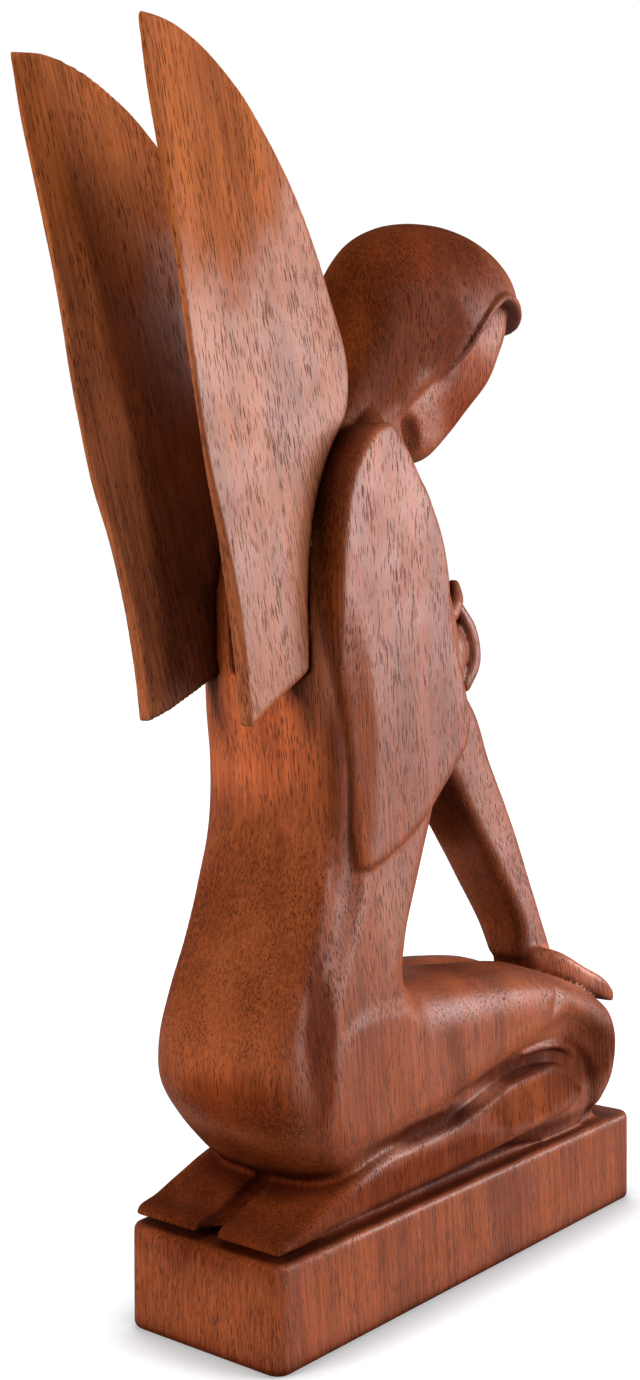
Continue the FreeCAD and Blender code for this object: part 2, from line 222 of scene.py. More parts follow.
def inside_outline(line, y, z):
    """The distance to a closed line in the side view, negative inside it."""
    nearest = np.full(np.broadcast_shapes(y.shape, z.shape), FAR**2, np.float32)
    inside = np.zeros(nearest.shape, bool)
    for (y0, z0), (y1, z1) in zip(line[:-1], line[1:]):
        dy, dz = y1 - y0, z1 - z0
        share = np.clip(((y - y0) * dy + (z - z0) * dz) / (dy * dy + dz * dz + 1e-9), 0, 1)
        nearest = np.minimum(nearest, (y - y0 - share * dy) ** 2 + (z - z0 - share * dz) ** 2)
        if dz:
            inside ^= ((z0 > z) != (z1 > z)) & (y < y0 + (z - z0) * dy / dz)
    return np.where(inside, -1, 1) * np.sqrt(nearest)


def plate(outline, low_x, high_x, edge, spans=6):
    """A flat form: an outline in the side view, (back, level), as thick as from low_x to high_x."""
    line = smooth_line(outline, spans, closed=True)
    middle, half = (low_x + high_x) / 2, (high_x - low_x) / 2

    def distance(x, y, z):
        return round_max(inside_outline(line, y, z), abs(x - middle) - half, edge)

    return Form(distance, (low_x, *line.min(0)), (high_x, *line.max(0)))


def rod(points, radii):
    """A round rod along the smooth line through the points, with a radius at each of them."""
    rows = smooth_line([(*point, radius) for point, radius in zip(points, radii)], 4)

    def distance(x, y, z):
        nearest = np.full(np.broadcast_shapes(x.shape, y.shape, z.shape), FAR, np.float32)
        for (x0, y0, z0, r0), (x1, y1, z1, r1) in zip(rows[:-1], rows[1:]):
            dx, dy, dz = x1 - x0, y1 - y0, z1 - z0
            along = (x - x0) * dx + (y - y0) * dy + (z - z0) * dz
            share = np.clip(along / (dx * dx + dy * dy + dz * dz + 1e-9), 0, 1)
            gap = np.sqrt(
                (x - x0 - share * dx) ** 2 + (y - y0 - share * dy) ** 2 + (z - z0 - share * dz) ** 2
            )
            nearest = np.minimum(nearest, gap - (r0 + share * (r1 - r0)))
        return nearest

    widest = rows[:, 3].max()
    return Form(distance, tuple(rows[:, :3].min(0) - widest), tuple(rows[:, :3].max(0) + widest))


def ball(centre, radii, tilt=0.0):
    """An egg shape with a radius along each axis. Tilt turns it about X, in degrees."""
    cosine, sine = math.cos(math.radians(tilt)), math.sin(math.radians(tilt))

    def distance(x, y, z):
        x, y, z = x - centre[0], y - centre[1], z - centre[2]
        y, z = cosine * y + sine * z, cosine * z - sine * y
        first = np.sqrt((x / radii[0]) ** 2 + (y / radii[1]) ** 2 + (z / radii[2]) ** 2)
        second = np.sqrt((x / radii[0] ** 2) ** 2 + (y / radii[1] ** 2) ** 2 + (z / radii[2] ** 2) ** 2)
        return first * (first - 1) / np.maximum(second, 1e-6)

    widest = max(radii[1:])
    spread = (radii[0], widest, widest)
    return Form(distance, tuple(np.subtract(centre, spread)), tuple(np.add(centre, spread)))


def beyond(point, normal, low, high):
    """Everything on the far side of a plane, within a box. It is used to plane a face flat."""
    normal = np.array(normal) / np.linalg.norm(normal)

    def distance(x, y, z):
        plane = -((x - point[0]) * normal[0] + (y - point[1]) * normal[1] + (z - point[2]) * normal[2])
        box = np.maximum(np.maximum(low[0] - x, x - high[0]), np.maximum(low[1] - y, y - high[1]))
        return np.maximum(plane, np.maximum(box, np.maximum(low[2] - z, z - high[2])))

    return Form(distance, low, high)


def joined(first, second, blend):
    """Two forms as one, with a fillet between them."""

    def distance(x, y, z):
        return -soft_max(-first.distance(x, y, z), -second.distance(x, y, z), blend)

    low = tuple(np.minimum(first.low, second.low))
    high = tuple(np.maximum(first.high, second.high))
    return Form(distance, low, high)


def without(form, hollow, blend):
    """A form with another one cut out of it."""

    def distance(x, y, z):
        return soft_max(form.distance(x, y, z), -hollow.distance(x, y, z), blend)

    return Form(distance, form.low, form.high)


def surface_net(block):
    """The surface of a block as points, in millimetres, and four-sided faces."""
    value = block.value
    solid = value < 0
    cells = tuple(size - 1 for size in value.shape)
    corners = [(i, j, k) for i in (0, 1) for j in (0, 1) for k in (0, 1)]

    def shifted(array, corner):
        return array[tuple(slice(c, c + n) for c, n in zip(corner, cells))]

    count = sum(shifted(solid, corner).astype(np.int8) for corner in corners)
    found = np.nonzero((count > 0) & (count < 8))
    total = np.zeros((len(found[0]), 3), np.float32)
    crossings = np.zeros(len(found[0]), np.float32)
    for corner in corners:
        for axis in range(3):
            if corner[axis]:
                continue
            other = tuple(c + (index == axis) for index, c in enumerate(corner))
            start = value[tuple(f + c for f, c in zip(found, corner))]
            end = value[tuple(f + c for f, c in zip(found, other))]
            crosses = (start < 0) != (end < 0)
            share = np.where(crosses, start / np.where(crosses, start - end, 1), 0)
            step = np.array(corner, np.float32) + share[:, None] * np.eye(3, dtype=np.float32)[axis]
            total += step * crosses[:, None]
            crossings += crosses
    points = np.stack(found, axis=1) + total / crossings[:, None]
    number = np.full(cells, -1, np.int32)
    number[found] = np.arange(len(points))
    faces = []
    for axis in range(3):
        u, v = [index for index in (0, 1, 2) if index != axis]
        inner = [slice(1, size - 1) for size in value.shape]
        inner[axis] = slice(0, value.shape[axis] - 1)
        onward = list(inner)
        onward[axis] = slice(1, value.shape[axis])
        for leaving in (True, False):
            before, after = solid[tuple(inner)], solid[tuple(onward)]
            edges = np.nonzero(before & ~after if leaving else ~before & after)
            place = [e + s.start for e, s in zip(edges, inner)]
            ring = []
            for du, dv in ((-1, -1), (0, -1), (0, 0), (-1, 0)):
                cell = list(place)
                cell[u] = place[u] + du
                cell[v] = place[v] + dv
                ring.append(number[tuple(cell)])
            turns_right = leaving == (axis != 1)
            faces.append(np.stack(ring if turns_right else ring[::-1], axis=1))
    origin = np.array([axis[0] for axis in block.axes])
    return settle(points, value) * block.pitch + origin, np.concatenate(faces)


def settle(points, value):
    """Moves the points of a net onto the surface itself, along the slope of the distances."""
    for _ in range(3):
        base = np.floor(points).astype(int)
        base = np.clip(base, 0, np.array(value.shape) - 2)
        part = points - base
        here = np.zeros(len(points))
        slope = np.zeros((len(points), 3))
        for i in (0, 1):
            for j in (0, 1):
                for k in (0, 1):
                    corner = value[base[:, 0] + i, base[:, 1] + j, base[:, 2] + k]
                    weight = [share if bit else 1 - share for bit, share in zip((i, j, k), part.T)]
                    here += corner * weight[0] * weight[1] * weight[2]
                    slope[:, 0] += corner * (1 if i else -1) * weight[1] * weight[2]
                    slope[:, 1] += corner * (1 if j else -1) * weight[0] * weight[2]
                    slope[:, 2] += corner * (1 if k else -1) * weight[0] * weight[1]
        step = here / np.maximum((slope**2).sum(1), 0.05)
        points = points - np.clip(step, -0.3, 0.3)[:, None] * slope
    return points


def make_piece(name, block, place=None):
    """The carved block as a smooth-shaded Blender object, in metres. Place may move its points first."""
    points, faces = surface_net(block)
    if place:
        points = place(points)
    mesh = bpy.data.meshes.new(name)
    mesh.from_pydata((points * MILLIMETRE).tolist(), [], faces.tolist())
    mesh.validate()
    mesh.shade_smooth()
    piece = bpy.data.objects.new(name, mesh)
    bpy.context.scene.collection.objects.link(piece)
    return piece


# ---------------------------------------------------------------------------------------------------------
# The figure. Its right side is -X. A shape that both sides have is given for the left and mirrored.

# Side outlines: (back, level).
SHIN_OUTLINE = [
    (-55.4, 39), (-52.4, 43), (-45, 48), (-34, 50.4), (-21, 50.8), (-11, 49), (3, 45.8), (17, 43.8),
    (30, 43.2), (39, 42.8), (47, 41), (57, 38.4), (66, 35.2), (74, 32.2), (80.4, 30.2), (81.2, 29),
    (76, 28.4), (60, 29.4), (40, 30), (15, 30.4), (-4, 31.4), (-22, 32.4), (-38, 33.2), (-50, 34.6),
]
THIGH_OUTLINE = [
    (64, 60), (58, 78), (44, 89), (30, 89.5), (15, 87), (-5, 83.6), (-22, 81), (-36, 78.2), (-47, 74.4),
    (-57, 69.8), (-67, 65), (-76, 59), (-81.6, 51), (-82, 44), (-78, 37), (-71.4, 32), (-66, 29.2),
    (-62, 31), (-61.2, 38), (-58, 45.6), (-50.6, 50.6), (-40, 53.2), (-29, 54), (-19, 52.8), (-4.5, 49.8),
    (10, 47.4), (24, 45), (36, 43.6), (48, 42.6), (60, 44),
]
ARM_OUTLINE = [
    (38.6, 225.6), (43.4, 224), (49, 219), (53.8, 211.6), (56.8, 201), (58.4, 188), (57.6, 172), (55.6, 158),
    (51.8, 145), (50.2, 132), (49.8, 121), (48.6, 115.4), (42, 116.2), (32.6, 120), (24, 125), (17.4, 130.8),
    (10.4, 137.2), (4.6, 143.4), (3, 149.6), (5.2, 158), (8.8, 168), (11.2, 179), (13.4, 191), (18, 202.6),
    (24.4, 211.8), (32, 220.8),
]
# The edge of the hair in the side view, from above the brow down to the neck.
HAIR_EDGE = [
    (-60, 256.5), (-50, 257.6), (-42, 260.6), (-34, 263.4), (-27, 264.6), (-22, 264.2), (-17.6, 262),
    (-13.6, 258.2), (-10.4, 253.4), (-7, 247.6), (-2, 240.2), (5, 233), (12.6, 228), (19.2, 225),
    (28, 222.4), (38, 219.6), (48, 214),
]


def carve_plinth(block):
    """The plinth, and the narrower wood that joins it to the legs and leaves an undercut all round."""
    low = (-HALF_PLANK, -HALF_PLINTH, 0)
    high = (HALF_PLANK, HALF_PLINTH, PLINTH_TOP)
    block.add(slab(low, high, PLINTH_CORNER, PLINTH_EDGE))
    inner = HALF_PLANK - UNDERCUT_INSET
    block.add(slab((-inner, -70, 20), (inner, 64, 32.5), 3, 1), 2)


def carve_lower_legs(block):
    """The shins and the upturned soles, with the groove between the feet."""
    block.add(plate(SHIN_OUTLINE, -LEG_SIDE, LEG_SIDE, 2.6), 0.6)
    groove = [(0, 48, 41.4), (0, 60, 37.6), (0, 70, 33.8), (0, 80, 30.2), (0, 88, 27.2)]
    block.cut(rod(groove, (2.2, 2.6, 3.0, 3.4, 3.8)), 0.4)


def carve_thighs(block):
    """The two thighs, the wood that joins them to the shins, and the groove between them."""
    inner = LEG_SIDE - THIGH_RECESS
    fill = [(50, 34), (50, 58), (-20, 62), (-62, 58), (-64, 32), (0, 33)]
    block.add(plate(fill, -inner, inner, 2.0), 1.0)
    for thigh in both_sides(plate(THIGH_OUTLINE, 0.0, THIGH_SIDE, 8.5)):
        block.add(thigh, 1.0)
    for side in (-1, 1):
        plane_thigh(block, side)
        carve_knee(block, side)
    between = [(0, -90, 54), (0, -84, 60), (0, -72, 67.6), (0, -50, 76), (0, -10, 85), (0, 24, 88)]
    block.cut(rod(between, (2.5, 3.2, 3.6, 3.6, 3.6, 2.0)), 2.0)


def plane_thigh(block, side):
    """Slopes the top of a thigh down to the outside and takes off the corner in front of the knee."""
    top = beyond((side * 9, 0, 84.8), (side * 6.4, -0.8, 15), (-30, -60, 60), (30, 60, 100))
    block.cut(top, 10.0)
    corner = beyond((side * 21.4, -80.6, 45), (side * 1.0, -1.1, -0.12), (-30, -90, 26), (30, -60, 90))
    block.cut(corner, 7.0)


def carve_knee(block, side):
    """The hollow inside the bent knee, and the crevice that runs from it back along the top of the shin."""
    hollow = [
        (27.6, -26, 56), (28, -38, 57.6), (28.2, -50, 57), (28.2, -59, 53), (27.4, -64.6, 45),
        (26.4, -65, 37),
    ]
    block.cut(rod(on_side(side, hollow), (2.6, 5.2, 6.0, 5.2, 2.8, 1.4)), 2.0)
    crevice = [
        (25.4, -56.8, 33), (25.4, -58.6, 39), (25.4, -56, 45.4), (25.2, -50, 49.8), (25.2, -42, 51.8),
        (25, -30, 52.8), (25, -18, 51.8), (25, -4, 48.6), (25, 12, 46), (25.2, 26, 44.4), (25.6, 38, 43.4),
    ]
    radii = (1.6, 1.7, 1.8, 2.0, 2.4, 2.8, 3.0, 2.9, 2.6, 2.2, 1.4)
    block.cut(rod(on_side(side, crevice), radii), 0.8)
    lip = [(21.6, -26, 54.4), (22, -36, 54.8), (22, -46, 53), (21, -54, 49)]
    block.add(rod(on_side(side, lip), (0.8, 1.1, 1.1, 0.9)), 1.2)
    crease = [(22.6, -45.4, 76), (24.8, -42, 70.6), (25.8, -39, 65), (26, -36, 61)]
    block.cut(rod(on_side(side, crease), (1.2, 1.5, 1.8, 1.8)), 1.0)


def carve_torso(block):
    """The torso from the seat up to the neck, with a rounded back."""
    torso = [
        (37, -19, 19, 10, 60, 8),
        (44, -21.5, 21.5, 6, 67, 9),
        (53, -23.8, 23.8, 8, 74.5, 10),
        (62, -24.6, 24.6, 12, 80.2, 11),
        (72, -24.6, 24.6, 19, 80.6, 11),
        (84, -24.4, 24.4, 26.4, 76.2, 10),
        (96, -24, 24, 26.4, 70.2, 8),
        (110, -23.4, 23.4, 21.5, 65.2, 7),
        (124, -22.8, 22.8, 15.8, 61.4, 6),
        (140, -22, 22, 9, 61.4, 6),
        (156, -21, 21, 1.5, 64, 6),
        (172, -20.4, 20.4, -1.5, 65.6, 7),
        (190, -20.2, 20.2, 2.5, 64.6, 10),
        (204, -18.6, 18.6, 5.5, 60.5, 10),
        (216, -15.6, 15.6, 10, 55, 9.5),
        (226, -13.2, 13.2, 13, 50, 8.5),
        (236, -12, 12, 12, 46, 8),
    ]
    block.add(loft("z", torso, 6.0, crown=4.6), 4.0)


def carve_back_grooves(block):
    """The hollow that sets the back off from the arm, flank and thigh on each side."""
    path = [
        (23.8, 48.8, 176), (24.2, 48.6, 157), (25.2, 48.8, 138), (26.6, 52.6, 117), (29, 59.4, 100),
        (31.4, 66.6, 86), (32.6, 71.6, 72), (33.2, 74, 58), (34, 71, 44),
    ]
    for side in (-1, 1):
        block.cut(rod(on_side(side, path), (3.0, 4.2, 5.4, 6.4, 7.6, 9.0, 9.4, 9.4, 8.8)), 2.4)


def carve_shoulders(block):
    """The slopes that run up from the flat of each arm to the neck."""
    slope = [
        (200, -25, 0, 18, 55, 3),
        (208, -24.9, 0, 20.6, 53.4, 3),
        (215, -23.4, 0, 24.6, 48.4, 3.5),
        (222, -20, 0, 27.6, 42, 4),
        (231, -14, 0, 28, 34.4, 4),
    ]
    for shoulder in both_sides(loft("z", slope, 1.0)):
        block.add(shoulder, 1.5)


def carve_right_arm(block):
    """The folded arm lies on the figure's side like a leaf. Its rear edge is scooped away below the wing."""
    block.add(plate(ARM_OUTLINE, -ARM_SIDE, -8.0, 2.2), 0.5)
    scoop = [
        (-31, 56, 180), (-30.8, 54.6, 168), (-30.5, 53, 152), (-30.5, 52.4, 136), (-30.6, 53.2, 120),
        (-31, 56, 106), (-31.6, 60, 96),
    ]
    block.cut(rod(scoop, (4.5, 7.2, 8.6, 8.8, 8.6, 8.2, 7.0)), 2.5)


def carve_right_hand(block):
    """The hand that lies on the chest, with the end of the forearm."""
    forearm = [(-16, 7, 150), (-13, 1, 157), (-9, -4.5, 162)]
    block.add(rod(forearm, (6.5, 6.0, 6.5)), 2.0)
    block.add(ball((-6.5, -6.5, 167), (8, 8.5, 10.5), tilt=12), 2.0)
    for finger in range(4):
        x = -11.4 + 4.3 * finger
        reach = (0.0, 2.2, 2.8, 1.0)[finger]
        line = [(x, -12, 158.5), (x + 0.4, -16, 165), (x + 0.6, -14.8, 173), (x + 0.8, -10, 179.6 + reach)]
        block.add(rod(line, (2.2, 2.9, 2.8, 2.1)), 0.7)
    thumb = [(-14.4, -1, 178), (-13.6, -4.6, 182), (-12.6, -5.4, 185.6)]
    block.add(rod(thumb, (2.8, 2.6, 2.0)), 0.7)


def carve_left_arm(block):
    """The straight left arm with the shoulder that it hangs from, and its long flat hand."""
    arm = [
        (74, -7.6, 7.6, -68.6, -51, 5.0),
        (84, -6.4, 12, -64.4, -51.3, 4.4),
        (100, -4, 16, -59.6, -43.7, 4.4),
        (120, -1.2, 19.4, -52.8, -31.2, 4.6),
        (135, 0.4, 22, -45.8, -21.5, 5.0),
        (150, 1.6, 23.6, -40, -9.4, 6.0),
        (165, 4, 24, -28, 8.5, 7.5),
        (184, 6, 24.4, -10, 32, 9.0),
        (200, 6, 23.4, 6, 46, 10.0),
        (212, 5, 19.6, 14, 50, 8.0),
    ]
    block.add(loft("z", arm, 3.0), 2.4)
    hand = [
        (-82.3, -19.2, -11.6, 59, 62.4, 1.2),
        (-77, -20, -6.6, 60.6, 66.8, 1.8),
        (-68, -18.4, -0.6, 64, 72.2, 2.6),
        (-59, -13.8, 5.6, 68, 78, 3.2),
        (-52.6, -8, 6.4, 70, 79, 4.0),
    ]
    block.add(loft("y", hand, 1.2), 0.8)


def head_volume():
    """The whole head as a smooth egg that runs down into the neck."""
    back = [
        (216, -12.6, 12.6, 31, 52, 9),
        (226, -13.2, 13.2, 17, 47.4, 9),
        (236, -14.2, 14.2, 4, 42.6, 12),
        (246, -15.2, 15.2, -12, 37.4, 14),
        (256, -15.8, 15.8, -30, 32.4, 15.5),
        (266, -15.2, 15.2, -34, 27, 15),
    ]
    return joined(ball((0, -10.2, 265.2), (18.4, 37, 19.2)), loft("z", back, 5.0), 8.0)


def carve_head(block):
    """The blank face, and over it the hood of hair with a raised cord along its edge."""
    face = [
        (218.8, -5.5, 5.5, -3.4, 16, 4),
        (222.5, -7.6, 7.6, -7.2, 18, 5),
        (228, -9, 9, -13.6, 22, 6),
        (235, -10.4, 10.4, -20.8, 22, 7),
        (243, -11.4, 11.4, -29, 20, 7),
        (251, -12, 12, -34, 18, 7.5),
        (258, -12.2, 12.2, -37.4, 14, 8),
        (266, -12, 12, -38, 10, 8),
    ]
    block.add(loft("z", face, 3.0), 1.0)
    for side in (-1, 1):
        block.cut(ball((side * 12.8, 8.4, 221.6), (8.6, 6.8, 10), tilt=-24), 1.0)
    volume = head_volume()
    edge = smooth_line(HAIR_EDGE, 4).tolist()
    opening = plate(edge + [(60, 200), (60, 190), (-80, 190), (-80, 255)], -30, 30, 0.0, spans=1)
    block.add(without(volume, opening, 0.8), 0.5)
    block.add(hood_cord(volume, opening), 0.5)


def hood_cord(volume, opening):
    """The cord stands out from the head and follows the edge of the opening."""

    def distance(x, y, z):
        outward = volume.distance(x, y, z) - CORD_RISE
        along_edge = abs(opening.distance(x, y, z) - CORD_SETBACK) - CORD_HALF_WIDTH
        return round_max(outward, along_edge, 1.0)

    return Form(distance, volume.low, volume.high)


def wing_board():
    """One wing as a board: X is its thickness, from the inner face out, and Y is how far back it is."""
    outline = np.concatenate([smooth_line(edge, 4) for edge in (WING_LEADING_EDGE, WING_TRAILING_EDGE)])
    trailing_backs, trailing_levels = np.transpose(WING_TRAILING_EDGE)
    bevel_levels, edge_thicknesses, bevel_widths = zip(*WING_BEVEL)

    def distance(x, y, z):
        up_taper = np.clip((z - WING_TAPER_START) / (WING_TOP - WING_TAPER_START), 0, 1)
        inner = (WING_THICKNESS - WING_TIP_THICKNESS) * up_taper
        from_edge = ease(trailing_levels, trailing_backs, z) - y
        at_edge = WING_THICKNESS - ease(bevel_levels, edge_thicknesses, z)
        bevel = at_edge * (1 - from_edge / ease(bevel_levels, bevel_widths, z))
        inner = soft_max(inner, np.minimum(bevel, at_edge), 0.6)
        middle, half = (inner + WING_THICKNESS) / 2, (WING_THICKNESS - inner) / 2
        return round_max(inside_outline(outline, y, z), abs(x - middle) - half, 0.6)

    return Form(distance, (0, *outline.min(0)), (WING_THICKNESS, *outline.max(0)))


def splayed(form, side):
    """A form given in a wing's own plane, as it stands on one side of the figure."""
    sine, cosine = math.sin(WING_SPLAY), math.cos(WING_SPLAY)

    def distance(x, y, z):
        out = side * x - WING_ROOT
        return form.distance(out * cosine - y * sine, out * sine + y * cosine, z)

    reach = side * HALF_PLANK
    return Form(distance, (min(0, reach), *form.low[1:]), (max(0, reach), *form.high[1:]))


def carve_wing_seats(block):
    """The slots that hold the wings, and the hollow of the back between them."""
    hollow = [
        (163, -5.5, 5.5, 60, 80, 2),
        (172, -5.5, 5.5, 56, 80, 2),
        (200, -5.5, 5.5, 53, 80, 2),
        (226, -5.5, 5.5, 47, 80, 2),
    ]
    block.cut(loft("z", hollow, 1.5), 1.0)
    for side in (-1, 1):
        block.cut(splayed(wing_board(), side))


def hand_made(block, depth):
    """Leaves the surface slightly uneven, as a knife and sandpaper do. It only ever takes wood away."""
    x, y, z = np.ix_(*block.axes)
    long_waves = np.sin(0.13 * y + 1.7 * np.sin(0.06 * z) + 0.2 * x)
    long_waves = long_waves * np.sin(0.11 * z + 1.1 * np.sin(0.08 * y))
    short_waves = np.sin(0.31 * z + 2.1 * np.sin(0.17 * y))
    short_waves = short_waves * np.sin(0.37 * y + 1.3 * np.sin(0.21 * z) + 0.4 * x)
    rise = np.clip(z / PLINTH_TOP, 0, 1)
    block.value += depth * rise * (1 + 0.8 * long_waves + 0.2 * short_waves)


def keep_in_plank(block):
    """Nothing can stand out beyond the faces of the plank that the figure is carved from."""
    outside = abs(block.axes[0]) - ARM_SIDE
    block.value = np.maximum(block.value, outside[:, None, None])


def carve_figure():
    """Carves the figure from the legs up. The plinth comes last, as it is a little wider than the rest."""
    block = Block((-HALF_PLANK, -HALF_PLINTH, 0), (HALF_PLANK, HALF_PLINTH, CROWN), PITCH)
    carve_lower_legs(block)
    carve_thighs(block)
    carve_torso(block)
    carve_back_grooves(block)
    carve_left_arm(block)
    carve_shoulders(block)
    carve_right_arm(block)
    carve_right_hand(block)
    carve_head(block)
    carve_wing_seats(block)
    keep_in_plank(block)
    carve_plinth(block)
    hand_made(block, KNIFE_DEPTH)
    return make_piece("carved_figure", block)


def carve_wing(name, side):
    """Carves a wing as a flat board, then stands it at its splay on one side of the figure."""
    block = Block((0, 40, 150), (WING_THICKNESS, 121, WING_TOP), WING_PITCH)
    block.add(wing_board())
    hand_made(block, KNIFE_DEPTH)
    sine, cosine = math.sin(WING_SPLAY), math.cos(WING_SPLAY)

    def stand(points):
        out, back, level = points.T
        x = WING_ROOT + back * sine + out * cosine
        return np.stack([side * x, back * cosine - out * sine, level], axis=1)

    piece = make_piece(name, block, stand)
    if side < 0:
        piece.data.flip_normals()
    return piece


# ---------------------------------------------------------------------------------------------------------
# Wood. Every colour is in linear light.


class Nodes:
    """A short way to write a material's nodes."""

    def __init__(self, name):
        self.material = bpy.data.materials.new(name)
        self.material.use_nodes = True
        self.tree = self.material.node_tree
        self.tree.nodes.clear()

    def add(self, kind, inputs=(), **settings):
        node = self.tree.nodes.new(kind)
        for key, value in settings.items():
            setattr(node, key, value)
        for key, value in dict(inputs).items():
            self.feed(node.inputs[key], value)
        return node

    def feed(self, socket, value):
        if isinstance(value, bpy.types.NodeSocket):
            self.tree.links.new(value, socket)
        else:
            socket.default_value = value

    def math(self, operation, first, second=0.0):
        return self.add("ShaderNodeMath", {0: first, 1: second}, operation=operation).outputs[0]

    def ramp(self, value, low, high, start=0.0, end=1.0):
        """Start below low and end above high, with a smooth step in between."""
        inputs = {"Value": value, "From Min": low, "From Max": high, "To Min": start, "To Max": end}
        node = self.add("ShaderNodeMapRange", inputs, interpolation_type="SMOOTHSTEP")
        return node.outputs["Result"]

    def stretched(self, vector, scale):
        return self.add("ShaderNodeMapping", {"Vector": vector, "Scale": scale}).outputs[0]

    def noise(self, vector, scale, detail, roughness=0.5):
        inputs = {"Vector": vector, "Scale": scale, "Detail": detail, "Roughness": roughness}
        return self.add("ShaderNodeTexNoise", inputs).outputs["Fac"]

    def mix(self, share, first, second, blend="MIX"):
        """Two colours mixed, each a socket or (red, green, blue)."""
        node = self.tree.nodes.new("ShaderNodeMix")
        node.data_type = "RGBA"
        node.blend_type = blend
        colours = [socket for socket in node.inputs if socket.type == "RGBA"]
        self.feed(node.inputs[0], share)
        for socket, colour in zip(colours, (first, second)):
            self.feed(socket, (*colour, 1) if isinstance(colour, tuple) else colour)
        return next(socket for socket in node.outputs if socket.type == "RGBA")


# Stains in the wood, and patches of painted shade and painted highlight: where the middle is and how far it
# spreads, in millimetres, then how much the colour there is multiplied by.
StainOrPaintedLight = collections.namedtuple("StainOrPaintedLight", "middle spread tint")


def with_stains_and_painted_light(nodes, colour, position, stains_and_painted_light):
    """The colour with its stains, painted shade and painted highlights, and how far they dull the polish. A
    patch that isn't darker keeps it.
    """
    unevenness = nodes.math("MULTIPLY", nodes.noise(position, 0.08, 3.0), 0.5)
    bare = colour
    dulled = 0.0
    for stain_or_painted_light in stains_and_painted_light:
        spread = tuple(1 / size for size in stain_or_painted_light.spread)
        shift = tuple(-place * scale for place, scale in zip(stain_or_painted_light.middle, spread))
        inputs = {"Vector": position, "Scale": spread, "Location": shift}
        from_middle = nodes.add("ShaderNodeMapping", inputs).outputs[0]
        length = nodes.add("ShaderNodeVectorMath", {0: from_middle}, operation="LENGTH").outputs["Value"]
        share = nodes.ramp(nodes.math("ADD", length, unevenness), 0.75, 1.5, 1.0, 0.0)
        colour = nodes.mix(share, colour, nodes.mix(1.0, bare, stain_or_painted_light.tint, "MULTIPLY"))
        darkens = sum(stain_or_painted_light.tint) < 3
        if darkens:
            dulled = nodes.math("MAXIMUM", dulled, share)
        else:
            dulled = nodes.math("MULTIPLY", dulled, nodes.math("SUBTRACT", 1.0, share))
    return colour, dulled


def grain_tone(nodes, grain):
    """How light the wood is, from its fibres, clouds and growth bands; then the fibres and clouds alone."""
    wander = nodes.noise(nodes.stretched(grain, (0.045, 0.045, 0.012)), 1.0, 2.0)
    from_pith = {"Vector": grain, "Location": (62, 24, 0), "Scale": (1, 1, 0)}
    middle = nodes.add("ShaderNodeMapping", from_pith).outputs[0]
    radius = nodes.add("ShaderNodeVectorMath", {0: middle}, operation="LENGTH").outputs["Value"]
    ring = nodes.math("ADD", nodes.math("MULTIPLY", radius, 0.62), nodes.math("MULTIPLY", wander, 16.0))
    band = nodes.math("MULTIPLY", nodes.math("SINE", ring), 0.5)
    fibre = nodes.noise(nodes.stretched(grain, (1.5, 1.5, 0.035)), 1.0, 3.0, 0.6)
    cloud = nodes.noise(nodes.stretched(grain, (0.05, 0.05, 0.016)), 1.0, 3.0, 0.55)
    tone = nodes.math("ADD", nodes.math("MULTIPLY", fibre, 1.3), nodes.math("MULTIPLY", cloud, 1.1))
    tone = nodes.math("ADD", tone, nodes.math("MULTIPLY", band, 0.1))
    return nodes.ramp(tone, 0.74, 1.7), fibre, cloud


def open_pores(nodes, grain):
    """Where the short open vessels are. They are wider and closer together in some places than in others."""
    cells = {"Vector": nodes.stretched(grain, (2.2, 2.2, 0.2)), "Scale": 1.0, "Randomness": 1.0}
    vessel = nodes.add("ShaderNodeTexVoronoi", cells).outputs["Distance"]
    crowd = nodes.noise(nodes.stretched(grain, (0.16, 0.16, 0.05)), 1.0, 2.0)
    width = nodes.ramp(crowd, 0.35, 0.65, 0.18, 0.34)
    return nodes.ramp(nodes.math("SUBTRACT", vessel, width), -0.06, 0.06, 1.0, 0.0)


def handled_and_shaded(nodes, colour, dulled, cloud):
    """Wax and dust darken and dull the crevices, with painted shade laid into that darkening, and handling
    rubs the edges light.
    """
    openness = nodes.add("ShaderNodeAmbientOcclusion", {"Distance": 0.011}, samples=8).outputs["AO"]
    # Painted shade: where ambient occlusion finds a crevice, the colour darkens towards (0.3, 0.2, 0.16),
    # for the wax and dust there and for the shade that falls in it.
    crevice = nodes.ramp(openness, 0.35, 0.9, 0.95, 0.0)
    colour = nodes.mix(crevice, colour, nodes.mix(1.0, colour, (0.3, 0.2, 0.16), "MULTIPLY"))
    sharpness = nodes.add("ShaderNodeNewGeometry").outputs["Pointiness"]
    worn = nodes.math("MULTIPLY", nodes.ramp(sharpness, 0.52, 0.6), nodes.ramp(cloud, 0.35, 0.6, 0.06, 0.2))
    colour = nodes.mix(worn, colour, nodes.mix(1.0, colour, (1.5, 1.35, 1.25), "MULTIPLY"))
    return colour, nodes.math("MAXIMUM", dulled, crevice)


def wood_relief(nodes, grain, fibre, pores):
    """Raised fibres, fine sanding marks and sunken pores."""
    tooth = nodes.noise(nodes.stretched(grain, (2.6, 2.6, 0.9)), 1.0, 2.0)
    height = nodes.math("ADD", nodes.math("MULTIPLY", fibre, 0.35), nodes.math("MULTIPLY", tooth, 0.25))
    height = nodes.math("SUBTRACT", height, nodes.math("MULTIPLY", pores, 0.8))
    relief = {"Height": height, "Strength": 0.5, "Distance": 0.0004}
    return nodes.add("ShaderNodeBump", relief).outputs["Normal"]


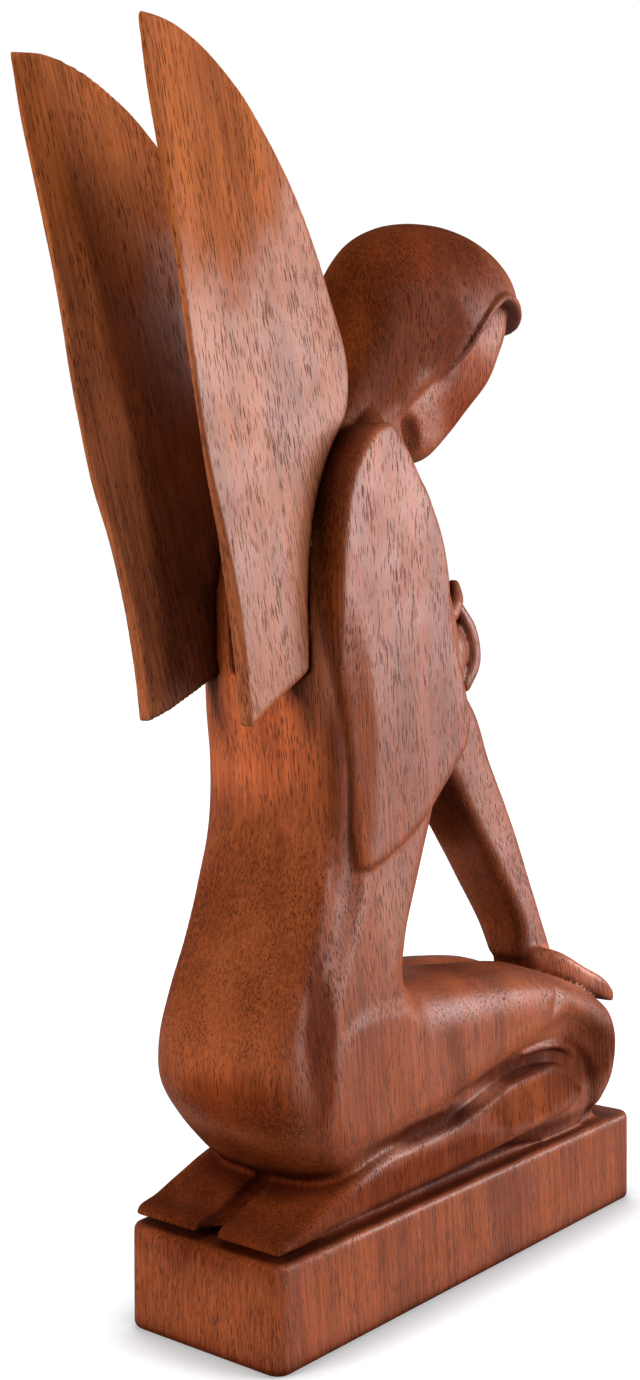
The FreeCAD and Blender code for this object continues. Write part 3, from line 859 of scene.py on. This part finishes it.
def carved_wood(name, lean, dark, light, pore, stains_and_painted_light=()):
    """Oiled wood with growth bands, fine fibres and open pores that run along the grain.

    Lean is how far the grain tips back from upright, in degrees.
    """
    nodes = Nodes(name)
    place = nodes.add("ShaderNodeTexCoord").outputs["Object"]
    position = nodes.stretched(place, (1000, 1000, 1000))
    turn = {"Vector": position, "Rotation": (math.radians(lean), 0, 0)}
    grain = nodes.add("ShaderNodeMapping", turn).outputs[0]

    tone, fibre, cloud = grain_tone(nodes, grain)
    pores = open_pores(nodes, grain)
    colour = nodes.mix(tone, dark, light)
    colour = nodes.mix(nodes.math("MULTIPLY", pores, 0.7), colour, pore)
    colour, dulled = with_stains_and_painted_light(nodes, colour, position, stains_and_painted_light)
    colour, dulled = handled_and_shaded(nodes, colour, dulled, cloud)

    smear = nodes.noise(position, 0.07, 3.0)
    smear = nodes.math("ADD", smear, nodes.math("MULTIPLY", fibre, 0.3))
    roughness = nodes.ramp(smear, 0.45, 0.85, 0.38, 0.48)
    roughness = nodes.math("ADD", roughness, nodes.math("MULTIPLY", pores, 0.25))
    roughness = nodes.math("ADD", roughness, nodes.math("MULTIPLY", dulled, 0.25))
    finish = {
        "Base Color": colour,
        "Roughness": roughness,
        "Normal": wood_relief(nodes, grain, fibre, pores),
        "Specular IOR Level": nodes.ramp(dulled, 0.1, 0.9, 0.34, 0.06),
    }
    shader = nodes.add("ShaderNodeBsdfPrincipled", finish)
    nodes.add("ShaderNodeOutputMaterial", {"Surface": shader.outputs[0]})
    return nodes.material


def figure_wood():
    """Reddish brown, with darker hair and feet, painted shade in crevices, grooves and hollows, and painted
    highlights on the arm, waist, hand and back. Where patches overlap, the later one wins.
    """
    stains_and_painted_light = [
        StainOrPaintedLight((0, 72, 104), (30, 22, 34), (0.75, 0.82, 0.95)),  # the small of the back
        StainOrPaintedLight((4, 64, 150), (24, 14, 20), (1.75, 1.85, 2.2)),  # a painted pool of light, paler orange, on the back below the wings
        StainOrPaintedLight((0, 6, 276), (34, 44, 28), (0.54, 0.46, 0.3)),  # the crown
        StainOrPaintedLight((-4, 34, 246), (30, 28, 26), (0.48, 0.42, 0.28)),  # the nape
        StainOrPaintedLight((-14, 9, 254), (15, 20, 14), (0.46, 0.38, 0.24)),  # the hair over the cheek
        StainOrPaintedLight((-25, 36, 216), (6, 17, 16), (1.15, 1.3, 1.6)),  # painted sheen on the top of the folded arm
        StainOrPaintedLight((-19, 61, 200), (8, 7, 30), (0.85, 0.92, 0.8)),  # the strip between the arm and the wing
        StainOrPaintedLight((0, 58, 195), (9, 16, 34), (0.25, 0.24, 0.24)),  # painted shade in the hollow between the wings
        StainOrPaintedLight((-25, 55, 138), (8, 6, 36), (0.38, 0.34, 0.3)),  # painted shade in the groove behind the arm
        StainOrPaintedLight((-26, 65, 82), (8, 6, 34), (0.46, 0.4, 0.38)),  # painted shade in the groove behind the thigh
        StainOrPaintedLight((12, -30, 118), (14, 10, 26), (0.45, 0.38, 0.34)),  # painted shade on the rear of the straight arm, where the torso shades it
        StainOrPaintedLight((-24, 36, 104), (8, 9, 14), (1.1, 1.6, 2.8)),  # painted sheen on the waist
        StainOrPaintedLight((-13, -16, 84), (13, 28, 5), (0.5, 0.46, 0.5)),  # painted shade on the top of the thigh, under the torso
        StainOrPaintedLight((-8, -66, 72), (18, 22, 7), (2.2, 2.8, 4.4)),  # painted sheen on the hand on the knee
        StainOrPaintedLight((0, -16, 238), (18, 20, 20), (0.82, 0.7, 0.7)),  # the face
        StainOrPaintedLight((-10, 84, 60), (22, 18, 10), (0.6, 0.5, 0.45)),  # painted shade on the underside of the buttocks
        StainOrPaintedLight((-25, -28, 42), (6, 30, 7), (0.72, 0.7, 0.7)),  # the shin
        StainOrPaintedLight((-25, 22, 34), (10, 46, 7), (0.6, 0.5, 0.44)),  # the calf and ankle
        StainOrPaintedLight((0, 72, 36), (40, 34, 16), (0.5, 0.42, 0.36)),  # the soles
        StainOrPaintedLight((0, 0, 30.2), (40, 100, 3.2), (0.28, 0.22, 0.2)),  # painted shade in the undercut above the plinth
        StainOrPaintedLight((-24, -56, 48), (10, 24, 12), (0.45, 0.4, 0.36)),  # painted shade in the hollow inside the knee
        StainOrPaintedLight((-24, -22, 51.5), (6, 26, 4), (0.26, 0.21, 0.2)),  # painted shade in the crevice above the shin, under the thigh
        StainOrPaintedLight((-24, 20, 45.5), (6, 26, 3.4), (0.26, 0.21, 0.2)),  # painted shade in the crevice above the ankle, under the thigh
    ]
    dark, light, pore = (0.12, 0.023, 0.006), (0.31, 0.071, 0.019), (0.04, 0.010, 0.005)
    return carved_wood("figure_wood", 5, dark, light, pore, stains_and_painted_light)


def wing_wood():
    """The same timber, paler and more golden near the tips, with painted shade on the inner faces near the
    back.
    """
    stains_and_painted_light = [
        StainOrPaintedLight((0, 100, 290), (40, 40, 50), (1.08, 1.06, 0.8)),  # the golden tip
        StainOrPaintedLight((0, 70, 180), (12, 40, 60), (0.16, 0.14, 0.2)),  # painted shade on the wings' inner faces near the back
    ]
    dark, light, pore = (0.14, 0.034, 0.010), (0.36, 0.105, 0.036), (0.03, 0.008, 0.004)
    return carved_wood("wing_wood", 15, dark, light, pore, stains_and_painted_light)


def dowel_wood():
    """Straight-grained pins of a paler timber."""
    dark, light, pore = (0.34, 0.2, 0.1), (0.5, 0.33, 0.19), (0.2, 0.11, 0.06)
    return carved_wood("dowel_wood", 90, dark, light, pore)


# ---------------------------------------------------------------------------------------------------------
# Floor, light and camera.

MIDDLE = Vector((0, 0, 0.15))
ROOM_LIGHT = 0.25
CAMERA_PLACE = (-0.28072, 0.37848, 0.17771)
CAMERA_ANGLES = (219.373, 2.483, -0.19)  # azimuth, elevation and roll, in degrees
CAMERA_LENS = 44.82


def floor_paint():
    """Matt and pale. It glows, more far from the figure, and the glow is dimmed under the plinth's edges as
    a painted contact shadow.
    """
    nodes = Nodes("pale_floor")
    place = nodes.add("ShaderNodeTexCoord").outputs["Object"]
    distance = nodes.add("ShaderNodeVectorMath", {0: place}, operation="LENGTH").outputs["Value"]
    openness = nodes.add("ShaderNodeAmbientOcclusion", {"Distance": 0.022}, samples=16).outputs["AO"]
    far_glow = nodes.ramp(distance, 0.15, 1.2, 0.8, 1.0)
    # Painted shadow: the glow is dimmed where ambient occlusion finds the plinth close by.
    painted_contact_shadow = nodes.ramp(openness, 0.45, 1.0, 0.3, 1.0)
    paint = {
        "Base Color": (0.44, 0.46, 0.48, 1),
        "Roughness": 1.0,
        "Specular IOR Level": 0.0,
        "Emission Color": (1, 1, 1, 1),
        "Emission Strength": nodes.math("MULTIPLY", far_glow, painted_contact_shadow),
    }
    shader = nodes.add("ShaderNodeBsdfPrincipled", paint)
    nodes.add("ShaderNodeOutputMaterial", {"Surface": shader.outputs[0]})
    return nodes.material


def add_floor():
    bpy.ops.mesh.primitive_plane_add(size=40.0, location=(0, 0, 0))
    floor = bpy.context.object
    floor.name = "floor"
    floor.data.materials.append(floor_paint())
    floor.visible_diffuse = False
    floor.visible_glossy = False


def add_softbox(name, position, size, power, colour, shines=True):
    """A square area light that faces the middle of the figure. It can be left out of reflections."""
    light = bpy.data.lights.new(name, "AREA")
    light.shape = "SQUARE"
    light.size = size
    light.energy = power
    light.color = colour
    lamp = bpy.data.objects.new(name, light)
    lamp.location = position
    lamp.rotation_euler = (Vector(position) - MIDDLE).to_track_quat("Z", "Y").to_euler()
    lamp.visible_glossy = shines
    bpy.context.scene.collection.objects.link(lamp)


def add_camera():
    """The camera stands behind the figure's right shoulder and looks slightly down."""
    azimuth, elevation, roll = map(math.radians, CAMERA_ANGLES)
    level = math.cos(elevation)
    back = Vector((math.sin(azimuth) * level, -math.cos(azimuth) * level, math.sin(elevation)))
    right = Vector((0, 0, 1)).cross(back).normalized()
    up = back.cross(right)
    turned_right = math.cos(roll) * right + math.sin(roll) * up
    turned_up = -math.sin(roll) * right + math.cos(roll) * up
    data = bpy.data.cameras.new("camera")
    data.sensor_fit = "VERTICAL"
    data.sensor_height = 36.0
    data.lens = CAMERA_LENS
    data.clip_start = 0.01
    camera = bpy.data.objects.new("camera", data)
    turn = Matrix((turned_right, turned_up, back)).transposed().to_4x4()
    camera.matrix_world = Matrix.Translation(CAMERA_PLACE) @ turn
    bpy.context.scene.collection.objects.link(camera)
    bpy.context.scene.camera = camera


def fill_the_room():
    """A pale room: white where the camera sees it, and dimmer as a light."""
    world = bpy.data.worlds.new("studio")
    world.use_nodes = True
    tree = world.node_tree
    ray = tree.nodes.new("ShaderNodeLightPath")
    level = tree.nodes.new("ShaderNodeMapRange")
    level.inputs["To Min"].default_value = ROOM_LIGHT
    level.inputs["To Max"].default_value = 1.0
    background = tree.nodes["Background"]
    background.inputs["Color"].default_value = (1, 1, 1, 1)
    tree.links.new(ray.outputs["Is Camera Ray"], level.inputs["Value"])
    tree.links.new(level.outputs["Result"], background.inputs["Strength"])
    bpy.context.scene.world = world


def light_the_studio():
    bpy.context.scene.view_settings.view_transform = "Standard"
    add_softbox("right_softbox", (-1.35, -0.75, 0.5), 1.0, 33.0, (1.0, 0.95, 0.93))
    add_softbox("front_softbox", (-0.66, -0.80, 0.31), 0.35, 5.5, (1.0, 0.92, 0.94))
    add_softbox("back_softbox", (0.3, 1.6, 0.65), 0.8, 36.0, (1.0, 0.95, 0.9), shines=False)


# ---------------------------------------------------------------------------------------------------------

add_camera()
fill_the_room()
light_the_studio()
add_floor()

figure = carve_figure()
figure.data.materials.append(figure_wood())
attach(figure, "root")
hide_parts("kneeling_figure")

board_wood = wing_wood()
for side_name, side in (("left", 1), ("right", -1)):
    wing = carve_wing(side_name + "_carved_wing", side)
    wing.data.materials.append(board_wood)
    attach(wing, "root")
    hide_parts(side_name + "_wing")

pin_wood = dowel_wood()
for node in ("left_wing_dowels", "right_wing_dowels"):
    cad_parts[node].data.materials.clear()
    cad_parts[node].data.materials.append(pin_wood)
